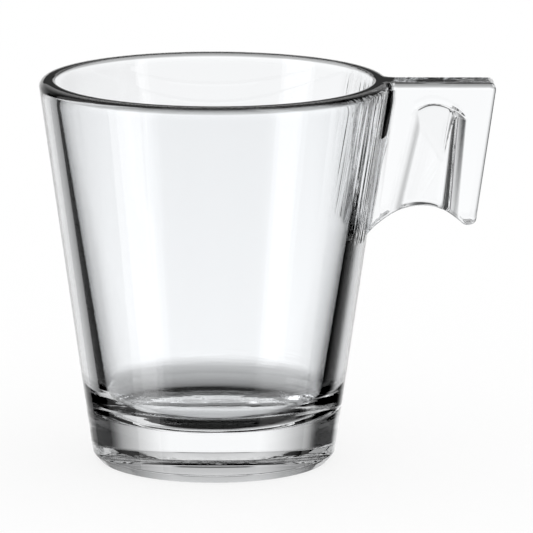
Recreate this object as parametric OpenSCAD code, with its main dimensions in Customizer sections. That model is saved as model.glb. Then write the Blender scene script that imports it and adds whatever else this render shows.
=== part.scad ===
// Espresso cup of thick pressed glass: a tapered bowl on a heavy base, and a flat tab handle
// with a thumb pocket on each face, fused to the wall. Millimetres, +Z up.
// The origin is the middle of the foot, on the surface that the cup stands on. The handle points to +X.

/* [Cup body] */
// Height from the foot to the rim
cup_height = 68.2; // [50:0.1:90]
// Outer diameter of the wall at the rim
rim_d = 62; // [48:0.5:80]
// Outer diameter of the wall where it would meet the table
foot_d = 42.8; // [34:0.1:47]
// Wall thickness at the rim, measured level
rim_wall = 2.9; // [2.3:0.1:4.5]
// Wall thickness at the inner floor, measured level
heel_wall = 4.1; // [2.5:0.1:6]
// Glass under the inner floor
base_thickness = 8.4; // [5:0.1:16]
// Radius where the inner floor turns up into the wall
heel_radius = 7; // [1:0.1:9]
// Rounding of the rim's outer edge
rim_outer_radius = 1.2; // [0.3:0.1:1.5]
// Rounding of the rim's inner edge
rim_inner_radius = 0.9; // [0.3:0.1:1.2]

/* [Foot] */
// Rounding where the wall turns under to the foot
foot_radius = 2; // [0.5:0.1:4]
// Width of the flat ring that the cup stands on
foot_ring_width = 3; // [1.5:0.1:6]
// Height of the hollow under the base, at its middle
foot_hollow = 0.7; // [0.3:0.1:2]

/* [Handle] */
// How far the handle's top lies below the rim
handle_drop = 0.1; // [0.1:0.1:3]
// How far the handle stands out from the wall
handle_reach = 18.7; // [14:0.1:26]
// Thickness of the handle
handle_thickness = 7.2; // [5:0.1:10]
// Rounding of the handle's edges and outer corners
handle_edge_radius = 1.2; // [0.4:0.1:2]
// From the rim down to where the lower edge leaves the wall
root_drop = 27; // [20:0.1:34]
// From the rim down to the lower tip
tip_drop = 26; // [20:0.1:34]
// Width of the lower tip, outside the finger arch
tip_width = 2.2; // [1.5:0.1:4]
// Rise of the finger arch in the lower edge
arch_rise = 3.7; // [1.5:0.1:6]
// Bevel on both edges of the finger arch
arch_bevel = 0.6; // [0.2:0.1:1.5]
// Radius of the fillet where each face runs into the wall
root_fillet = 1.2; // [0.5:0.1:3.5]

/* [Thumb pocket] */
// Depth of the pocket's floor at the end of the ramp from the wall
pocket_wall_depth = 0.9; // [0.4:0.1:1.6]
// Depth of the pocket's floor at the foot of its outer side
pocket_edge_depth = 1.9; // [0.6:0.1:2.2]
// Run of the flat ramp on the wall's side
pocket_ramp = 3; // [1:0.1:3.6]
// Run of the scooped outer side, where the thumb pulls
pocket_scoop = 3.4; // [1:0.1:3.6]
// Flat border between the wall and the pocket
pocket_wall_border = 3.5; // [2.5:0.1:6]
// Flat border between the pocket and the outer edge
pocket_edge_border = 3.7; // [2.5:0.1:5]
// Flat border between the pocket and the top edge
pocket_top_border = 3; // [2:0.1:6]
// Corner radius at the pocket's mouth
pocket_corner_radius = 5; // [4:0.1:5.5]

/* [Hidden] */
$fn = 96;

// How far cutters run past the face that they cut
cut_past = 1;
// Thickness of the slices that a hull joins
slice = 0.01;
// Steps along the root's fillet and along the pocket's scooped side
curve_steps = 4;

rim_r = rim_d / 2;
foot_r = foot_d / 2;
inner_rim_r = rim_r - rim_wall;
// Level spread of the outer wall for each millimetre of height
wall_lean = (rim_r - foot_r) / cup_height;
floor_r = foot_r + wall_lean * base_thickness - heel_wall;

// Outer radius of the wall at a height
function wall_x(z) = foot_r + wall_lean * z;
function unit(v) = v / norm(v);

// What a fillet of radius r takes off a corner, given the points before and after it.
// It runs past both faces, so that it leaves no sliver beside the next cut.
module corner_waste(before, corner, after, r) {
    to_before = unit(before - corner);
    to_after = unit(after - corner);
    half_angle = acos(to_before * to_after) / 2;
    run = r / tan(half_angle);
    to_corner = -unit(to_before + to_after) * r / sin(half_angle);
    past = 1 + cut_past / r;
    translate(corner - to_corner) difference() {
        polygon([
            [0, 0], past * (to_corner + to_before * run), past * to_corner, past * (to_corner + to_after * run)
        ]);
        circle(r);
    }
}

// Half section of the outside, with the axis at x = 0
axis_foot = [0, 0];
foot_corner = [foot_r, 0];
rim_outer_corner = [rim_r, cup_height];
rim_inner_corner = [inner_rim_r, cup_height];
axis_rim = [0, cup_height];

// Half section of the space inside, run past the rim along its own wall
axis_floor = [0, base_thickness];
floor_corner = [floor_r, base_thickness];
cavity_lean = (inner_rim_r - floor_r) / (cup_height - base_thickness);
cavity_mouth = [inner_rim_r + cavity_lean * cut_past, cup_height + cut_past];
axis_mouth = [0, cup_height + cut_past];

module cavity_section() {
    difference() {
        polygon([axis_floor, floor_corner, cavity_mouth, axis_mouth]);
        corner_waste(axis_floor, floor_corner, cavity_mouth, heel_radius);
    }
}

// The hollow under the base is a shallow dome inside the foot ring
hollow_r = foot_r - foot_radius - foot_ring_width;
dome_r = (hollow_r * hollow_r + foot_hollow * foot_hollow) / (2 * foot_hollow);

module hollow_section() {
    intersection() {
        translate([0, foot_hollow - dome_r]) circle(dome_r, $fn = 720);
        translate([0, -cut_past]) square([foot_r, cut_past + foot_hollow]);
    }
}

module outside_section() {
    difference() {
        polygon([axis_foot, foot_corner, rim_outer_corner, axis_rim]);
        corner_waste(foot_corner, rim_outer_corner, axis_rim, rim_outer_radius);
    }
}

module cup_section() {
    difference() {
        outside_section();
        cavity_section();
        hollow_section();
        corner_waste(axis_foot, foot_corner, rim_outer_corner, foot_radius);
        corner_waste(rim_outer_corner, rim_inner_corner, floor_corner, rim_inner_radius);
    }
}

module cup_body() {
    color("aliceblue", 0.4) rotate_extrude() cup_section();
}

// The handle stands in the XZ plane. Its outer edge runs parallel to the wall, and its lower edge
// is an arch from the wall to the tip.
handle_face = handle_thickness / 2;
handle_top = cup_height - handle_drop;
edge_length = norm([1, wall_lean]);
// The glass of the handle starts inside the wall, which then cuts it off
root_depth = root_fillet + handle_edge_radius;

// Point on the outer edge at a height, drawn in by inset
function edge_point(z, inset = 0) = [wall_x(z) + handle_reach - inset * edge_length, z];
function root_point(z) = [wall_x(z) - root_depth, z];

arch_root = [wall_x(cup_height - root_drop), cup_height - root_drop];
arch_end = edge_point(cup_height - tip_drop) - [tip_width, 0];
arch_chord = arch_end - arch_root;
arch_r = (arch_chord * arch_chord / 4 + arch_rise * arch_rise) / (2 * arch_rise);
arch_up = [-arch_chord.y, arch_chord.x] / norm(arch_chord);
arch_centre = (arch_root + arch_end) / 2 - arch_up * (arch_r - arch_rise);

// Stands a 2D outline up in the XZ plane, as a slab centred on y
module stand(thickness, y = 0) {
    translate([0, y + thickness / 2, 0]) rotate([90, 0, 0]) linear_extrude(thickness) children();
}

// The plate with round edges, before the arch is cut
module handle_plate() {
    r = handle_edge_radius;
    top = handle_top - r;
    root_low = arch_root.y + r;
    tip_low = cup_height - tip_drop + r;
    corners = [root_point(root_low), edge_point(tip_low, r), edge_point(top, r), root_point(top)];
    hull() for (corner = corners, side = [-1, 1])
        translate([corner.x, side * (handle_face - r), corner.y]) sphere(r, $fn = 24);
}

// The fused root spreads out towards the wall in a hollow fillet on both faces
function fillet_u(step) = root_fillet * (1 - cos(90 * step / curve_steps));
function fillet_y(step) = handle_face + root_fillet * (1 - sin(90 * step / curve_steps));

module fused_root() {
    low = arch_root.y;
    top = handle_top - handle_edge_radius;
    for (step = [0 : curve_steps - 1]) {
        near = [fillet_u(step), fillet_y(step)];
        far = [fillet_u(step + 1), fillet_y(step + 1)];
        hull() for (z = [low, top - slice]) translate([wall_x(z), 0, z])
            linear_extrude(slice) polygon([
                [-root_depth, -near.y], [near.x, -near.y], [far.x, -far.y],
                [far.x, far.y], [near.x, near.y], [-root_depth, near.y]
            ]);
    }
}

// The finger arch, with a bevel towards both faces
module finger_arch() {
    flare = arch_bevel + root_fillet + cut_past;
    outside = handle_face - arch_bevel + flare;
    inside = handle_face - arch_bevel;
    translate([arch_centre.x, 0, arch_centre.y]) rotate([90, 0, 0]) rotate_extrude() polygon([
        [0, -outside], [arch_r + flare, -outside], [arch_r, -inside],
        [arch_r, inside], [arch_r + flare, outside], [0, outside]
    ]);
}

// The pocket is an inverted U, open through the lower edge. A flat ramp leads down from the wall's side
// to a tilted floor, and the outer side is scooped.
pocket_width = handle_reach - pocket_wall_border - pocket_edge_border;
pocket_r = min(pocket_corner_radius, pocket_width / 2);
pocket_wall_u = pocket_wall_border + pocket_r;
pocket_edge_u = handle_reach - pocket_edge_border - pocket_r;

// One side of the U, at a distance from the wall, drawn in by inset and sunk into the face by depth
module pocket_leg(u, inset, depth) {
    for (z = [arch_centre.y, handle_top - pocket_top_border - pocket_r])
        stand(slice, depth - slice / 2 - handle_face)
            translate([wall_x(z) + u, z]) circle(pocket_r - inset, $fn = 48);
}

module pocket() {
    hull() {
        pocket_leg(pocket_wall_u, 0, 0);
        pocket_leg(pocket_wall_u, pocket_ramp, pocket_wall_depth);
        for (step = [0 : curve_steps]) {
            run = step / curve_steps;
            pocket_leg(pocket_edge_u, pocket_scoop * run, pocket_edge_depth * run * (2 - run));
        }
    }
}

module handle() {
    color("azure", 0.4) difference() {
        union() {
            handle_plate();
            fused_root();
        }
        finger_arch();
        pocket();
        mirror([0, 1, 0]) pocket();
        rotate_extrude() outside_section();
    }
}

cup_body();
handle();
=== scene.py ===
import math

import bpy
from mathutils import Matrix, Vector


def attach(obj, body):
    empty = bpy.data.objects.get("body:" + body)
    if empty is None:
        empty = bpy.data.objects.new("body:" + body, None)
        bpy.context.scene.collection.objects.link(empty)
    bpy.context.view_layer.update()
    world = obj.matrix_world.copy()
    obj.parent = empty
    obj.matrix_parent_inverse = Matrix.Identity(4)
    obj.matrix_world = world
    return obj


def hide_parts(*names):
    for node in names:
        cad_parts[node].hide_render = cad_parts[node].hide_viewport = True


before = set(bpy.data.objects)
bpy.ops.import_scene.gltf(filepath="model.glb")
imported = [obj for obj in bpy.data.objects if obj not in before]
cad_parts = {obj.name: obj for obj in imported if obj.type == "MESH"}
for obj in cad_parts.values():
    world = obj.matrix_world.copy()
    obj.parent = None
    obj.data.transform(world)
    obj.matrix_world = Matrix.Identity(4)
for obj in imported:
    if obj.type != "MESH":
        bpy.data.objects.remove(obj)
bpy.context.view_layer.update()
mm = 0.001


# The view. A long lens about 1 m in front of the cup looks down on it a little, turned to the right
# by half a degree so that the bowl and the handle together fill the square picture.
view_distance = 986.27 * mm
view_height = 233.79 * mm
view_down = math.radians(11.423)
view_right = math.radians(0.539)
view_roll = math.radians(0.173)
picture_px = 533
focal_px = 5682.9
sensor_width = 36

camera_data = bpy.data.cameras.new("view")
camera_data.sensor_width = sensor_width
camera_data.lens = sensor_width * focal_px / picture_px
camera = bpy.data.objects.new("view", camera_data)
camera.matrix_world = (
    Matrix.Translation((0, -view_distance, view_height))
    @ Matrix.Rotation(-view_right, 4, "Z")
    @ Matrix.Rotation(math.pi / 2 - view_down, 4, "X")
    @ Matrix.Rotation(view_roll, 4, "Z")
)
bpy.context.scene.collection.objects.link(camera)
bpy.context.scene.camera = camera


# The cup's body: a tapered bowl on a thick base, of clear glass pressed in one shot and fire-polished,
# so the rim is round and the walls ripple very slightly. It stands on a knurled ring round a shallow hollow.
cup_height = 68.2 * mm
rim_r = 31.0 * mm
foot_r = 21.4 * mm
rim_wall = 2.9 * mm
heel_wall = 4.1 * mm
base_thickness = 8.4 * mm
heel_radius = 7.0 * mm
rim_outer_radius = 1.2 * mm
rim_inner_radius = 0.5 * mm
foot_bevel_in = 1.1 * mm
foot_bevel_up = 1.5 * mm
foot_wall_radius = 1.0 * mm
foot_edge_radius = 0.4 * mm
foot_ring_width = 3.9 * mm
foot_hollow = 0.7 * mm
ripple_height = 0.003 * mm
ripple_size = 14 * mm
columns = 360
hollow_steps = 12
ring_steps = 6
foot_edge_steps = 6
foot_wall_steps = 8
low_wall_steps = 36
high_wall_steps = 24
rim_outer_steps = 10
rim_inner_steps = 12
inner_wall_steps = 50
heel_steps = 18
floor_steps = 14
weld_distance = 0.001 * mm
smooth_angle = math.radians(50)
# Where the handle is fused to the wall: from this height up to the crown of the rim, and this far round
root_z = 41.0 * mm
root_half_angle = math.radians(9)

wall_lean = (rim_r - foot_r) / cup_height
floor_r = foot_r + wall_lean * base_thickness - heel_wall
hollow_r = foot_r - foot_bevel_in - foot_ring_width


def wall_x(z):
    """Outer radius of the wall at a height."""
    return foot_r + wall_lean * z


def straight(start, end, steps):
    """Points along a line, without its ends."""
    return [start.lerp(end, i / steps) for i in range(1, steps)]


def fillet(before, corner, after, radius, steps):
    """Points of the arc that rounds a corner of an outline."""
    to_before = (before - corner).normalized()
    to_after = (after - corner).normalized()
    half_angle = to_before.angle(to_after) / 2
    centre = corner + (to_before + to_after).normalized() * radius / math.sin(half_angle)
    run = radius / math.tan(half_angle)
    first = corner + to_before * run - centre
    last = corner + to_after * run - centre
    turn = -first.angle_signed(last)
    return [centre + Matrix.Rotation(turn * i / steps, 2) @ first for i in range(steps + 1)]


hollow_edge = Vector((hollow_r, 0))
foot_corner = Vector((foot_r, 0))
bevel_low = Vector((foot_r - foot_bevel_in, 0))
bevel_high = Vector((wall_x(foot_bevel_up), foot_bevel_up))
root_ring = Vector((wall_x(root_z), root_z))
rim_outer_corner = Vector((rim_r, cup_height))
rim_inner_corner = Vector((rim_r - rim_wall, cup_height))
floor_corner = Vector((floor_r, base_thickness))
floor_middle = Vector((0, base_thickness))

hollow_arc = [
    Vector((hollow_r * i / hollow_steps, foot_hollow * (1 - (i / hollow_steps) ** 2)))
    for i in range(hollow_steps + 1)
]
foot_edge_arc = fillet(hollow_edge, bevel_low, bevel_high, foot_edge_radius, foot_edge_steps)
foot_wall_arc = fillet(
    bevel_low, bevel_high, rim_outer_corner, foot_wall_radius, foot_wall_steps
)
rim_outer_arc = fillet(
    foot_corner, rim_outer_corner, rim_inner_corner, rim_outer_radius, rim_outer_steps
)
rim_inner_arc = fillet(
    rim_outer_corner, rim_inner_corner, floor_corner, rim_inner_radius, rim_inner_steps
)
heel_arc = fillet(rim_inner_corner, floor_corner, floor_middle, heel_radius, heel_steps)
outline = [
    *hollow_arc,
    *straight(hollow_edge, foot_edge_arc[0], ring_steps),
    *foot_edge_arc,
    *foot_wall_arc,
    *straight(foot_wall_arc[-1], root_ring, low_wall_steps),
    root_ring,
    *straight(root_ring, rim_outer_arc[0], high_wall_steps),
    *rim_outer_arc,
    *rim_inner_arc,
    *straight(rim_inner_arc[-1], heel_arc[0], inner_wall_steps),
    *heel_arc,
    *straight(heel_arc[-1], floor_middle, floor_steps),
    floor_middle,
]

bpy.ops.object.select_all(action="DESELECT")
body_mesh = bpy.data.meshes.new("cup_body_glass")
body_mesh.from_pydata(
    [(point.x, 0, point.y) for point in outline],
    [(i, i + 1) for i in range(len(outline) - 1)],
    [],
)
body = bpy.data.objects.new("cup_body_glass", body_mesh)
bpy.context.scene.collection.objects.link(body)
bpy.context.view_layer.objects.active = body
body.select_set(True)
bpy.ops.object.mode_set(mode="EDIT")
bpy.ops.mesh.select_all(action="SELECT")
bpy.ops.mesh.spin(steps=columns, angle=2 * math.pi, center=(0, 0, 0), axis=(0, 0, 1))
bpy.ops.mesh.select_all(action="SELECT")
bpy.ops.mesh.remove_doubles(threshold=weld_distance)
bpy.ops.mesh.normals_make_consistent(inside=False)
bpy.ops.object.mode_set(mode="OBJECT")

# A slow ripple in the pressed surface
ripple = bpy.data.textures.new("pressed_ripple", "CLOUDS")
ripple.noise_scale = ripple_size
bpy.ops.object.modifier_add(type="DISPLACE")
body.modifiers[-1].texture = ripple
body.modifiers[-1].texture_coords = "LOCAL"
body.modifiers[-1].strength = ripple_height
bpy.ops.object.modifier_apply(modifier=body.modifiers[-1].name)
bpy.ops.object.shade_smooth_by_angle(angle=smooth_angle)

glass = bpy.data.materials.new("clear_pressed_glass")
glass.use_nodes = True
glass_shader = glass.node_tree.nodes["Principled BSDF"]
glass_shader.inputs["Base Color"].default_value = (0.98, 0.99, 1.0, 1)
glass_shader.inputs["Roughness"].default_value = 0
glass_shader.inputs["IOR"].default_value = 1.52
glass_shader.inputs["Transmission Weight"].default_value = 1

# The press leaves flow marks: upright streaks beside the handle's root, a tenth or two of a millimetre deep,
# and much finer ones in the thumb pocket's scoop, level streaks round the heel, and knurls on the foot ring.
# Their depths are in millimetres.
root_mark = 0.4
scoop_mark = 0.03
heel_mark = 0.012
knurl_mark = 0.03
streak_size = 1.3 * mm
heel_streak_size = 0.5 * mm
streak_stretch = 0.06
knurl_size = 0.5 * mm
# Each pair says where a mark begins and where it is full
root_lean = 0.15
root_left = (-3.4 * mm, -1.4 * mm)
root_right = (1.8 * mm, 1.3 * mm)
root_skin = (-2 * mm, -1 * mm)
root_low = (-1 * mm, 1 * mm)
root_high = (cup_height - 1 * mm, cup_height - 4 * mm)
scoop_left = (11 * mm, 12 * mm)
scoop_right = (15.5 * mm, 14.5 * mm)
heel_low = (7 * mm, 9 * mm)
heel_high = (19 * mm, 13 * mm)
heel_inside = (8 * mm, 14 * mm)
ring_high = (0.8 * mm, 0.4 * mm)
ring_inside = (hollow_r - 1 * mm, hollow_r)
glass_tree = glass.node_tree


def glass_calc(operation, a, b):
    """The result of a math node of the glass, on numbers or other nodes' results."""
    made = glass_tree.nodes.new("ShaderNodeMath")
    made.operation = operation
    for socket, value in zip(made.inputs, (a, b)):
        if isinstance(value, (int, float)):
            socket.default_value = value
        else:
            glass_tree.links.new(value, socket)
    return made.outputs["Value"]


def times(first, *others):
    """The product of several nodes' results."""
    for other in others:
        first = glass_calc("MULTIPLY", first, other)
    return first


def rise(value, limits):
    """A smooth rise from 0 to 1 between two places, or a fall if the second is the lower one."""
    made = glass_tree.nodes.new("ShaderNodeMapRange")
    made.interpolation_type = "SMOOTHSTEP"
    glass_tree.links.new(value, made.inputs["Value"])
    made.inputs["From Min"].default_value, made.inputs["From Max"].default_value = limits
    return made.outputs["Result"]


def marks(across, along, up, size):
    """A noise of marks of about the given size, from minus to plus a half."""
    at = glass_tree.nodes.new("ShaderNodeCombineXYZ")
    for socket, value in zip(at.inputs, (across, along, up)):
        glass_tree.links.new(value, socket)
    noise = glass_tree.nodes.new("ShaderNodeTexNoise")
    noise.inputs["Scale"].default_value = 1 / size
    noise.inputs["Detail"].default_value = 1
    glass_tree.links.new(at.outputs["Vector"], noise.inputs["Vector"])
    return glass_calc("SUBTRACT", noise.outputs[0], 0.5)


place_node = glass_tree.nodes.new("ShaderNodeTexCoord")
place_parts = glass_tree.nodes.new("ShaderNodeSeparateXYZ")
glass_tree.links.new(place_node.outputs["Object"], place_parts.inputs["Vector"])
at_x, at_y, at_z = place_parts.outputs
from_axis = glass_calc(
    "SQRT", glass_calc("ADD", glass_calc("POWER", at_x, 2), glass_calc("POWER", at_y, 2)), 0
)
wall_spread = glass_calc("MULTIPLY", at_z, wall_lean)
from_wall = glass_calc("SUBTRACT", glass_calc("SUBTRACT", at_x, wall_spread), foot_r)
from_outside = glass_calc("ADD", from_wall, glass_calc("SUBTRACT", from_axis, at_x))

above_root = glass_calc("SUBTRACT", at_z, root_z)
root_edge = glass_calc("ADD", from_wall, glass_calc("MULTIPLY", above_root, root_lean))
near_root = times(
    rise(root_edge, root_left),
    rise(from_wall, root_right),
    rise(from_outside, root_skin),
    rise(above_root, root_low),
    rise(at_z, root_high),
)
in_scoop = times(rise(from_wall, scoop_left), rise(from_wall, scoop_right))
at_heel = times(rise(at_z, heel_low), rise(at_z, heel_high), rise(from_axis, heel_inside))
at_ring = times(rise(at_z, ring_high), rise(from_axis, ring_inside))

upright = marks(from_wall, at_y, times(at_z, streak_stretch), streak_size)
level_marks = marks(times(at_x, streak_stretch), times(at_y, streak_stretch), at_z, heel_streak_size)
knurls = marks(at_x, at_y, at_z, knurl_size)
relief = times(upright, glass_calc("ADD", times(near_root, root_mark), times(in_scoop, scoop_mark)))
relief = glass_calc("ADD", relief, times(level_marks, times(at_heel, heel_mark)))
relief = glass_calc("ADD", relief, times(knurls, times(at_ring, knurl_mark)))
bump = glass_tree.nodes.new("ShaderNodeBump")
bump.inputs["Distance"].default_value = mm
glass_tree.links.new(relief, bump.inputs["Height"])
glass_tree.links.new(bump.outputs["Normal"], glass_shader.inputs["Normal"])

# Where body and handle are fused there is no surface, so light passes there as inside the glass
fused = bpy.data.materials.new("fused_seam")
fused.use_nodes = True
fused.node_tree.nodes.clear()
fused_shader = fused.node_tree.nodes.new("ShaderNodeBsdfTransparent")
fused_output = fused.node_tree.nodes.new("ShaderNodeOutputMaterial")
fused.node_tree.links.new(fused_shader.outputs["BSDF"], fused_output.inputs["Surface"])

body_mesh.materials.append(glass)
body_mesh.materials.append(fused)
outside_r = rim_outer_arc[-1].x
for face in body_mesh.polygons:
    angle = math.atan2(face.center.y, face.center.x)
    wall_r = wall_x(face.center.z)
    outside = face.center.xy.length > max(outside_r, wall_r - 2 * rim_outer_radius)
    if outside and face.center.z > root_z and abs(angle) < root_half_angle:
        face.material_index = 1

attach(body, "root")
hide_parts("cup_body")


# The handle: a flat tab of the same glass, pressed with a thumb pocket in each face and fused to the wall
# in a hollow fillet. Its top is level with the rim, and a finger fits under the arch of its lower edge.
handle_reach = 18.7 * mm
handle_top = 68.1 * mm
half_thickness = 3.6 * mm
root_fillet = 1.5 * mm
top_edge_radius = 1.2 * mm
low_round_depth = 0.6 * mm
low_round_height = 0.8 * mm
end_radius = 1.2 * mm
corner_radius = 1.6 * mm
arch_middle = Vector((36.35 * mm, 34.9 * mm))
arch_radius = 10.92 * mm
tip_z = 42.6 * mm
tip_run = 1.5 * mm
tip_rise = 1.0 * mm
tip_join = 16.3 * mm
pocket_top = 64.4 * mm
pocket_crown = 8.0 * mm
pocket_left_arch = 4.0 * mm
pocket_right_arch = 6.7 * mm
pocket_left = 4.4 * mm
pocket_left_flare = 0.087
pocket_right = 14.2 * mm
pocket_right_flare = 0.067
pocket_wall_depth = 0.9 * mm
pocket_edge_depth = 1.9 * mm
pocket_ramp = 2.9 * mm
pocket_floor_end = 11.4 * mm
pocket_lip = 0.1
pocket_top_step = 0.12 * mm
pocket_top_run = 0.45 * mm
pocket_top_slope = 0.18
pocket_right_slope = 1.5
pocket_right_start = 3.2 * mm
pocket_right_run = 1.8 * mm
pocket_blend = 0.2 * mm
fine_rows_z = 60 * mm
half_row = 8
fillet_rows = rim_outer_steps
face_rows = 40
fine_rows = 60
root_rows = 14
plate_rows = 100
end_rows = 12
cap_rows = 8
slope_step = 0.01 * mm
least_radius = 0.05 * mm
low_round_share = 0.9
tiny = 1e-9

tip_u = handle_reach - tip_run


def ease(t):
    """A smooth rise from 0 to 1."""
    t = min(max(t, 0), 1)
    return t * t * (3 - 2 * t)


def arch_z(u):
    """Height of the finger arch, at a distance from the wall."""
    b = foot_r + u - arch_middle.x
    qa = 1 + wall_lean ** 2
    qb = wall_lean * b - arch_middle.y
    qc = b * b + arch_middle.y ** 2 - arch_radius ** 2
    root = max(qb * qb - qa * qc, 0)
    return (-qb + math.sqrt(root)) / qa


def low_z(u):
    """Height of the handle's lower edge: the arch, then the round tip."""
    if u <= tip_join:
        return arch_z(u)
    if u < tip_u:
        slope = (arch_z(tip_join) - arch_z(tip_join - slope_step)) / slope_step
        t = (u - tip_join) / (tip_u - tip_join)
        start = arch_z(tip_join)
        run = tip_u - tip_join
        h00 = 2 * t ** 3 - 3 * t ** 2 + 1
        h10 = t ** 3 - 2 * t ** 2 + t
        return h00 * start + h10 * run * slope + (1 - h00) * tip_z
    t = min((u - tip_u) / tip_run, 1)
    return tip_z + tip_rise * (1 - math.sqrt(1 - t * t))


def top_z(u):
    """Height of the handle's top edge, with the round outer corner."""
    t = min(max((u - handle_reach + corner_radius) / corner_radius, 0), 1)
    return handle_top - corner_radius * (1 - math.sqrt(1 - t * t))


def end_inset(u):
    """How far the faces draw in towards the handle's outer end."""
    t = min(max((u - handle_reach + end_radius) / end_radius, 0), 1)
    return end_radius * (1 - math.sqrt(1 - t * t))


def blend(a, b):
    """The smaller of two depths, with a soft change from one to the other."""
    share = max(pocket_blend - abs(a - b), 0) / pocket_blend
    return max(min(a, b) - share * share * pocket_blend / 4, 0)


def pocket(u, z):
    """Depth of the thumb pocket: an arch that widens downwards, open at the bottom, with a soft ramp
    on the wall's side, a floor that tilts in, a scooped outer side and a small step at its top."""
    off = u - pocket_crown
    fall = off * off / (2 * (pocket_left_arch if off < 0 else pocket_right_arch))
    down = max(pocket_top - fall - z, 0)
    left = pocket_left - pocket_left_flare * (pocket_top - z)
    right = pocket_right + pocket_right_flare * (pocket_top - z)
    floor_start = left + pocket_ramp
    across = min(max((u - floor_start) / (pocket_floor_end - floor_start), 0), 1)
    floor = pocket_wall_depth * ease((u - left) / pocket_ramp)
    floor += (pocket_edge_depth - pocket_wall_depth) * across
    t = min(max((right - u) / (right - pocket_floor_end), 0), 1)
    lipped = (math.hypot(t, pocket_lip) - pocket_lip) / (math.hypot(1, pocket_lip) - pocket_lip)
    scoop = pocket_edge_depth * lipped * (2 - lipped)
    steep = ease((off - pocket_right_start) / pocket_right_run)
    top = pocket_top_step * (1 - math.exp(-down / pocket_top_run))
    top += down * (pocket_top_slope + (pocket_right_slope - pocket_top_slope) * steep)
    return blend(blend(floor, scoop), top)


def half_section(u):
    """Front half of the handle's section at a distance from the wall, from the bottom to the top.
    Close to the wall it spreads in a fillet, which ends on the fused patch of the wall and the rim."""
    out = min(u / root_fillet, 1)
    along = math.sqrt(1 - (1 - out) ** 2)
    low = low_z(u) + (root_z - low_z(0)) * (1 - out)
    top = top_z(u)
    inset = end_inset(u)
    top_r = max(top_edge_radius - inset, least_radius)
    shoulder_z = rim_outer_arc[0].y
    face_top = shoulder_z + (top - top_r - shoulder_z) * ease(out)

    def face(z):
        return half_thickness - inset - pocket(u, z)

    def half(z):
        return face(z) * along + wall_x(z) * math.sin(root_half_angle) * (1 - along)

    def place(y, z):
        wall = wall_x(z)
        on_cone = math.sqrt(wall * wall - y * y)
        return Vector((on_cone + (wall - on_cone) * out + u, -y, z))

    def from_rim(radius, angle, z, y_end, z_end):
        x = radius * math.cos(angle) * (1 - out) + (wall_x(z_end) + u) * out
        y = radius * math.sin(angle) * (1 - along) + y_end * along
        return Vector((x, -y, z + (z_end - z) * ease(out)))

    round_z = max(low_round_height - inset, least_radius) * along
    deepest = low_round_share * face(low + round_z)
    round_y = min(max(low_round_depth - inset, least_radius), deepest) * along
    points = []
    low_flat = half(low) - round_y
    for i in range(half_row + 1):
        points.append(place(low_flat * i / half_row, low))
    for i in range(1, fillet_rows + 1):
        a = math.pi / 2 * i / fillet_rows
        z = low + round_z * (1 - math.cos(a))
        points.append(place(half(z) - round_y * (1 - math.sin(a)), z))
    for i in range(1, face_rows + 1):
        z = low + round_z + (fine_rows_z - low - round_z) * i / face_rows
        points.append(place(half(z), z))
    for i in range(1, fine_rows):
        z = fine_rows_z + (face_top - fine_rows_z) * i / fine_rows
        points.append(place(half(z), z))
    for i in range(fillet_rows + 1):
        a = math.pi / 2 * i / fillet_rows
        z = top - top_r * (1 - math.sin(a))
        y = face(z) - top_r * (1 - math.cos(a))
        points.append(from_rim(rim_outer_arc[i].x, root_half_angle, rim_outer_arc[i].y, y, z))
    top_flat = face(top) - top_r
    for i in range(1, half_row + 1):
        share = 1 - i / half_row
        angle = root_half_angle * share
        points.append(from_rim(rim_outer_arc[-1].x, angle, cup_height, top_flat * share, top))
    return points


def whole(half_loop):
    """Closes a front half loop with its mirror image."""
    back = [Vector((p.x, -p.y, p.z)) for p in reversed(half_loop[:-1])]
    return half_loop + back


root_loop = whole(half_section(0))
middle_z = (root_z + cup_height) / 2


def on_wall(point, share):
    """A point of the root loop, drawn in along the wall towards the middle of the patch."""
    z = middle_z + (point.z - middle_z) * share
    angle = math.atan2(point.y, point.x) * share
    radius = wall_x(z)
    if z > rim_outer_arc[0].y:
        rows = zip(rim_outer_arc, rim_outer_arc[1:])
        radius = next(
            a.x + (b.x - a.x) * (z - a.y) / (b.y - a.y) for a, b in rows if z <= b.y + tiny
        )
    return Vector((radius * math.cos(angle), radius * math.sin(angle), z))


loops = []
for i in range(cap_rows):
    loops.append([on_wall(point, i / cap_rows) for point in root_loop])
for i in range(root_rows):
    u = root_fillet * (1 - math.cos(math.pi / 2 * i / root_rows))
    loops.append(whole(half_section(u)))
plate_end = handle_reach - corner_radius
for i in range(plate_rows):
    u = root_fillet + (plate_end - root_fillet) * i / plate_rows
    loops.append(whole(half_section(u)))
for i in range(end_rows + 1):
    u = plate_end + corner_radius * math.sin(math.pi / 2 * i / end_rows)
    loops.append(whole(half_section(u)))
last_loop = loops[-1]
last_middle = sum(last_loop, Vector()) / len(last_loop)
for i in range(1, cap_rows + 1):
    loops.append([point.lerp(last_middle, i / cap_rows) for point in last_loop])

bpy.ops.object.select_all(action="DESELECT")
bpy.ops.mesh.primitive_grid_add(
    x_subdivisions=len(root_loop) - 1, y_subdivisions=len(loops) - 1, size=handle_reach
)
handle = bpy.context.object
handle.name = "handle_glass"
handle_mesh = handle.data
handle_mesh.name = "handle_glass"
for row, loop in enumerate(loops):
    for column, point in enumerate(loop):
        handle_mesh.vertices[row * len(root_loop) + column].co = point
handle_mesh.materials.append(glass)
handle_mesh.materials.append(fused)
for face in handle_mesh.polygons:
    if min(face.vertices) < cap_rows * len(root_loop):
        face.material_index = 1
bpy.ops.object.mode_set(mode="EDIT")
bpy.ops.mesh.select_all(action="SELECT")
bpy.ops.mesh.remove_doubles(threshold=weld_distance)
bpy.ops.mesh.normals_make_consistent(inside=False)
bpy.ops.object.mode_set(mode="OBJECT")
bpy.ops.object.shade_smooth_by_angle(angle=smooth_angle)

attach(handle, "root")
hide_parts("handle")


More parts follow.
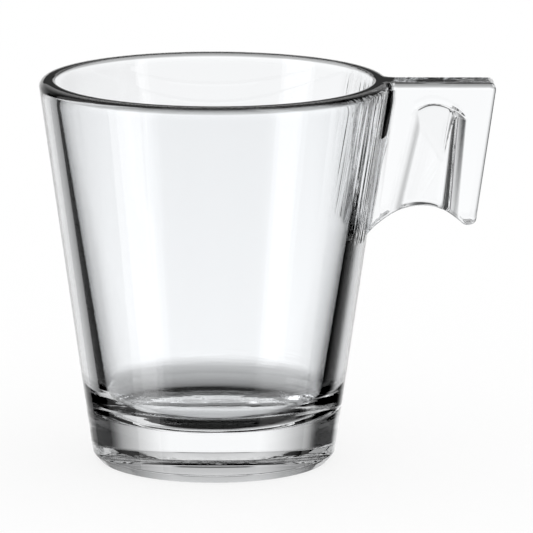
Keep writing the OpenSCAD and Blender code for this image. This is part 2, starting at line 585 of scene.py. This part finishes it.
# The floor: a wide sheet of white paper, lit so brightly from behind that only a faint shadow is left under
# the cup. Glass looks past it at the studio.
floor_radius = 4
floor_corners = 64
paper_white = (1, 1, 1, 1)
shaded_share = 0.2

bpy.ops.object.select_all(action="DESELECT")
bpy.ops.mesh.primitive_circle_add(vertices=floor_corners, radius=floor_radius, fill_type="NGON")
floor = bpy.context.object
floor.name = "floor"
paper = bpy.data.materials.new("white_paper")
paper.use_nodes = True
paper.node_tree.nodes.clear()
paper_glow = paper.node_tree.nodes.new("ShaderNodeEmission")
paper_glow.inputs["Color"].default_value = paper_white
paper_glow.inputs["Strength"].default_value = 1
paper_shade = paper.node_tree.nodes.new("ShaderNodeBsdfDiffuse")
paper_shade.inputs["Color"].default_value = paper_white
paper_mix = paper.node_tree.nodes.new("ShaderNodeMixShader")
paper_mix.inputs["Fac"].default_value = shaded_share
paper_output = paper.node_tree.nodes.new("ShaderNodeOutputMaterial")
paper.node_tree.links.new(paper_glow.outputs["Emission"], paper_mix.inputs[1])
paper.node_tree.links.new(paper_shade.outputs["BSDF"], paper_mix.inputs[2])
paper.node_tree.links.new(paper_mix.outputs["Shader"], paper_output.inputs["Surface"])
floor.data.materials.append(paper)
floor.visible_transmission = False
floor.visible_glossy = False


# The studio: white all round for the eye and the floor. What the glass shows is a glowing backdrop between
# two black flags, in a bright room with some dim cards, with a bright board on each side and darkness below.
world = bpy.data.worlds.new("studio")
world.use_nodes = True
world.cycles.sampling_method = "NONE"
bpy.context.scene.world = world
tree = world.node_tree
tree.nodes.clear()


def node(kind, **settings):
    """A new node of the studio."""
    made = tree.nodes.new(kind)
    for name, value in settings.items():
        setattr(made, name, value)
    return made


def calc(operation, *values):
    """The result of a math node on numbers or other nodes' results."""
    made = node("ShaderNodeMath", operation=operation)
    for socket, value in zip(made.inputs, values):
        if isinstance(value, (int, float)):
            socket.default_value = value
        else:
            tree.links.new(value, socket)
    return made.outputs["Value"]


parts = node("ShaderNodeSeparateXYZ")
tree.links.new(node("ShaderNodeTexCoord").outputs["Generated"], parts.inputs["Vector"])
# Degrees above the horizon, and degrees round from straight behind the cup towards the left
height = calc("DEGREES", calc("ARCSINE", parts.outputs["Z"]))
around = calc("DEGREES", calc("ARCTAN2", calc("MULTIPLY", parts.outputs["X"], -1), parts.outputs["Y"]))


def ramp(value, stops):
    """A level that runs in straight lines through pairs of degrees and brightness."""
    first = stops[0][0]
    last = stops[-1][0]
    share = calc("DIVIDE", calc("SUBTRACT", value, first), last - first)
    made = node("ShaderNodeFloatCurve")
    curve = made.mapping.curves[0]
    tree.links.new(share, made.inputs["Value"])
    for degrees, brightness in stops[1:-1]:
        curve.points.new((degrees - first) / (last - first), brightness)
    curve.points[0].location = (0, stops[0][1])
    curve.points[-1].location = (1, stops[-1][1])
    for point in curve.points:
        point.handle_type = "VECTOR"
    made.mapping.use_clip = False
    made.mapping.update()
    return made.outputs["Value"]


def band(value, low, high, soft):
    """1 between two angles, fading to 0 over a soft edge outside them."""
    middle = (low + high) / 2
    off = calc("ABSOLUTE", calc("WRAP", calc("SUBTRACT", value, middle), 180, -180))
    made = node("ShaderNodeMapRange", interpolation_type="SMOOTHSTEP")
    tree.links.new(off, made.inputs["Value"])
    made.inputs["From Min"].default_value = (high - low) / 2 + soft
    made.inputs["From Max"].default_value = (high - low) / 2
    return made.outputs["Result"]


def card(level, brightness, right, left, low, high, soft_round, soft_high):
    """The level with a card in front of it, between two angles round and two heights."""
    mask = calc("MULTIPLY", band(around, right, left, soft_round), band(height, low, high, soft_high))
    mix = node("ShaderNodeMix", data_type="FLOAT")
    tree.links.new(mask, mix.inputs["Factor"])
    tree.links.new(level, mix.inputs["A"])
    mix.inputs["B"].default_value = brightness
    return mix.outputs["Result"]


glow_round = ramp(
    around,
    [
        (-180, 0), (-53, 0), (-45, 0.16), (-36, 0.32), (-28, 0.55), (-20, 0.86), (-14, 1.08),
        (14, 1.08), (20, 0.92), (28, 0.62), (36, 0.4), (45, 0.2), (53, 0), (180, 0),
    ],
)
glow_high = ramp(
    height,
    [
        (-90, 0), (-47, 0), (-44, 0.15), (-37, 0.33), (-28, 0.42), (-22, 0.55), (-17, 0.85), (-14, 1),
        (-10, 0.88), (-4, 0.93), (4, 0.9), (7, 0.8), (14, 0.5), (18, 0.55), (28, 0.8), (40, 1.3), (90, 1.3),
    ],
)
# Each card: brightness, right and left edge, lower and upper edge, softness of its upright and level edges.
# A later card stands in front of the earlier ones.
backdrop_line = (0.08, -10, 10, 9, 12, 5, 1.5)
bright_room = (0.7, 57, 285, -46, 90, 5, 5)
front_cards = [
    (0.02, 135, 190, -27, -13, 4, 2),
    (0.01, 140, 220, -40, -18, 6, 4),
    (1.2, 150, 210, -14, -4, 6, 2),
    (0.6, 140, 220, -2, 7, 6, 2),
]
right_dim = (0.02, -118, -66, -24, 12, 4, 2)
left_flag = (0, 38.5, 72, -23, -15, 1.5, 1.5)
left_dim = (0.3, 70, 104, -23, -9, 4, 2)
left_low_board = (0.75, 20, 85, -46, -25.7, 6, 1.2)
right_flag = (0, -75, -36, -34, -9, 16, 3)
base_flags = [(0, 45, 62, -9, 3, 10, 2), (0, -75, -45, -9, 3, 10, 2)]
left_board = (1.7, 104, 128, -42, 24, 1, 3)
right_board = (1.4, -129, -120, -8, 7, 1, 3)
right_low_board = (0.8, -86, -76, -32, -24, 1, 2)
overhead = (0.4, -180, 180, 50, 90, 1, 6)
level = calc("MULTIPLY", glow_round, glow_high)
for values in [
    backdrop_line, bright_room, *front_cards, right_dim, left_flag, left_dim, left_low_board, right_flag,
    *base_flags, left_board, right_board, right_low_board, overhead,
]:
    level = card(level, *values)

colour = node("ShaderNodeCombineColor")
for name in ("Red", "Green", "Blue"):
    tree.links.new(level, colour.inputs[name])
path = node("ShaderNodeLightPath")
seen = calc("MAXIMUM", path.outputs["Is Glossy Ray"], path.outputs["Is Transmission Ray"])
choose = node("ShaderNodeMix", data_type="RGBA")
tree.links.new(seen, choose.inputs["Factor"])
choose.inputs["A"].default_value = (1, 1, 1, 1)
tree.links.new(colour.outputs["Color"], choose.inputs["B"])
background = node("ShaderNodeBackground")
tree.links.new(choose.outputs["Result"], background.inputs["Color"])
output = node("ShaderNodeOutputWorld")
tree.links.new(background.outputs["Background"], output.inputs["Surface"])

bpy.context.scene.view_settings.view_transform = "Standard"
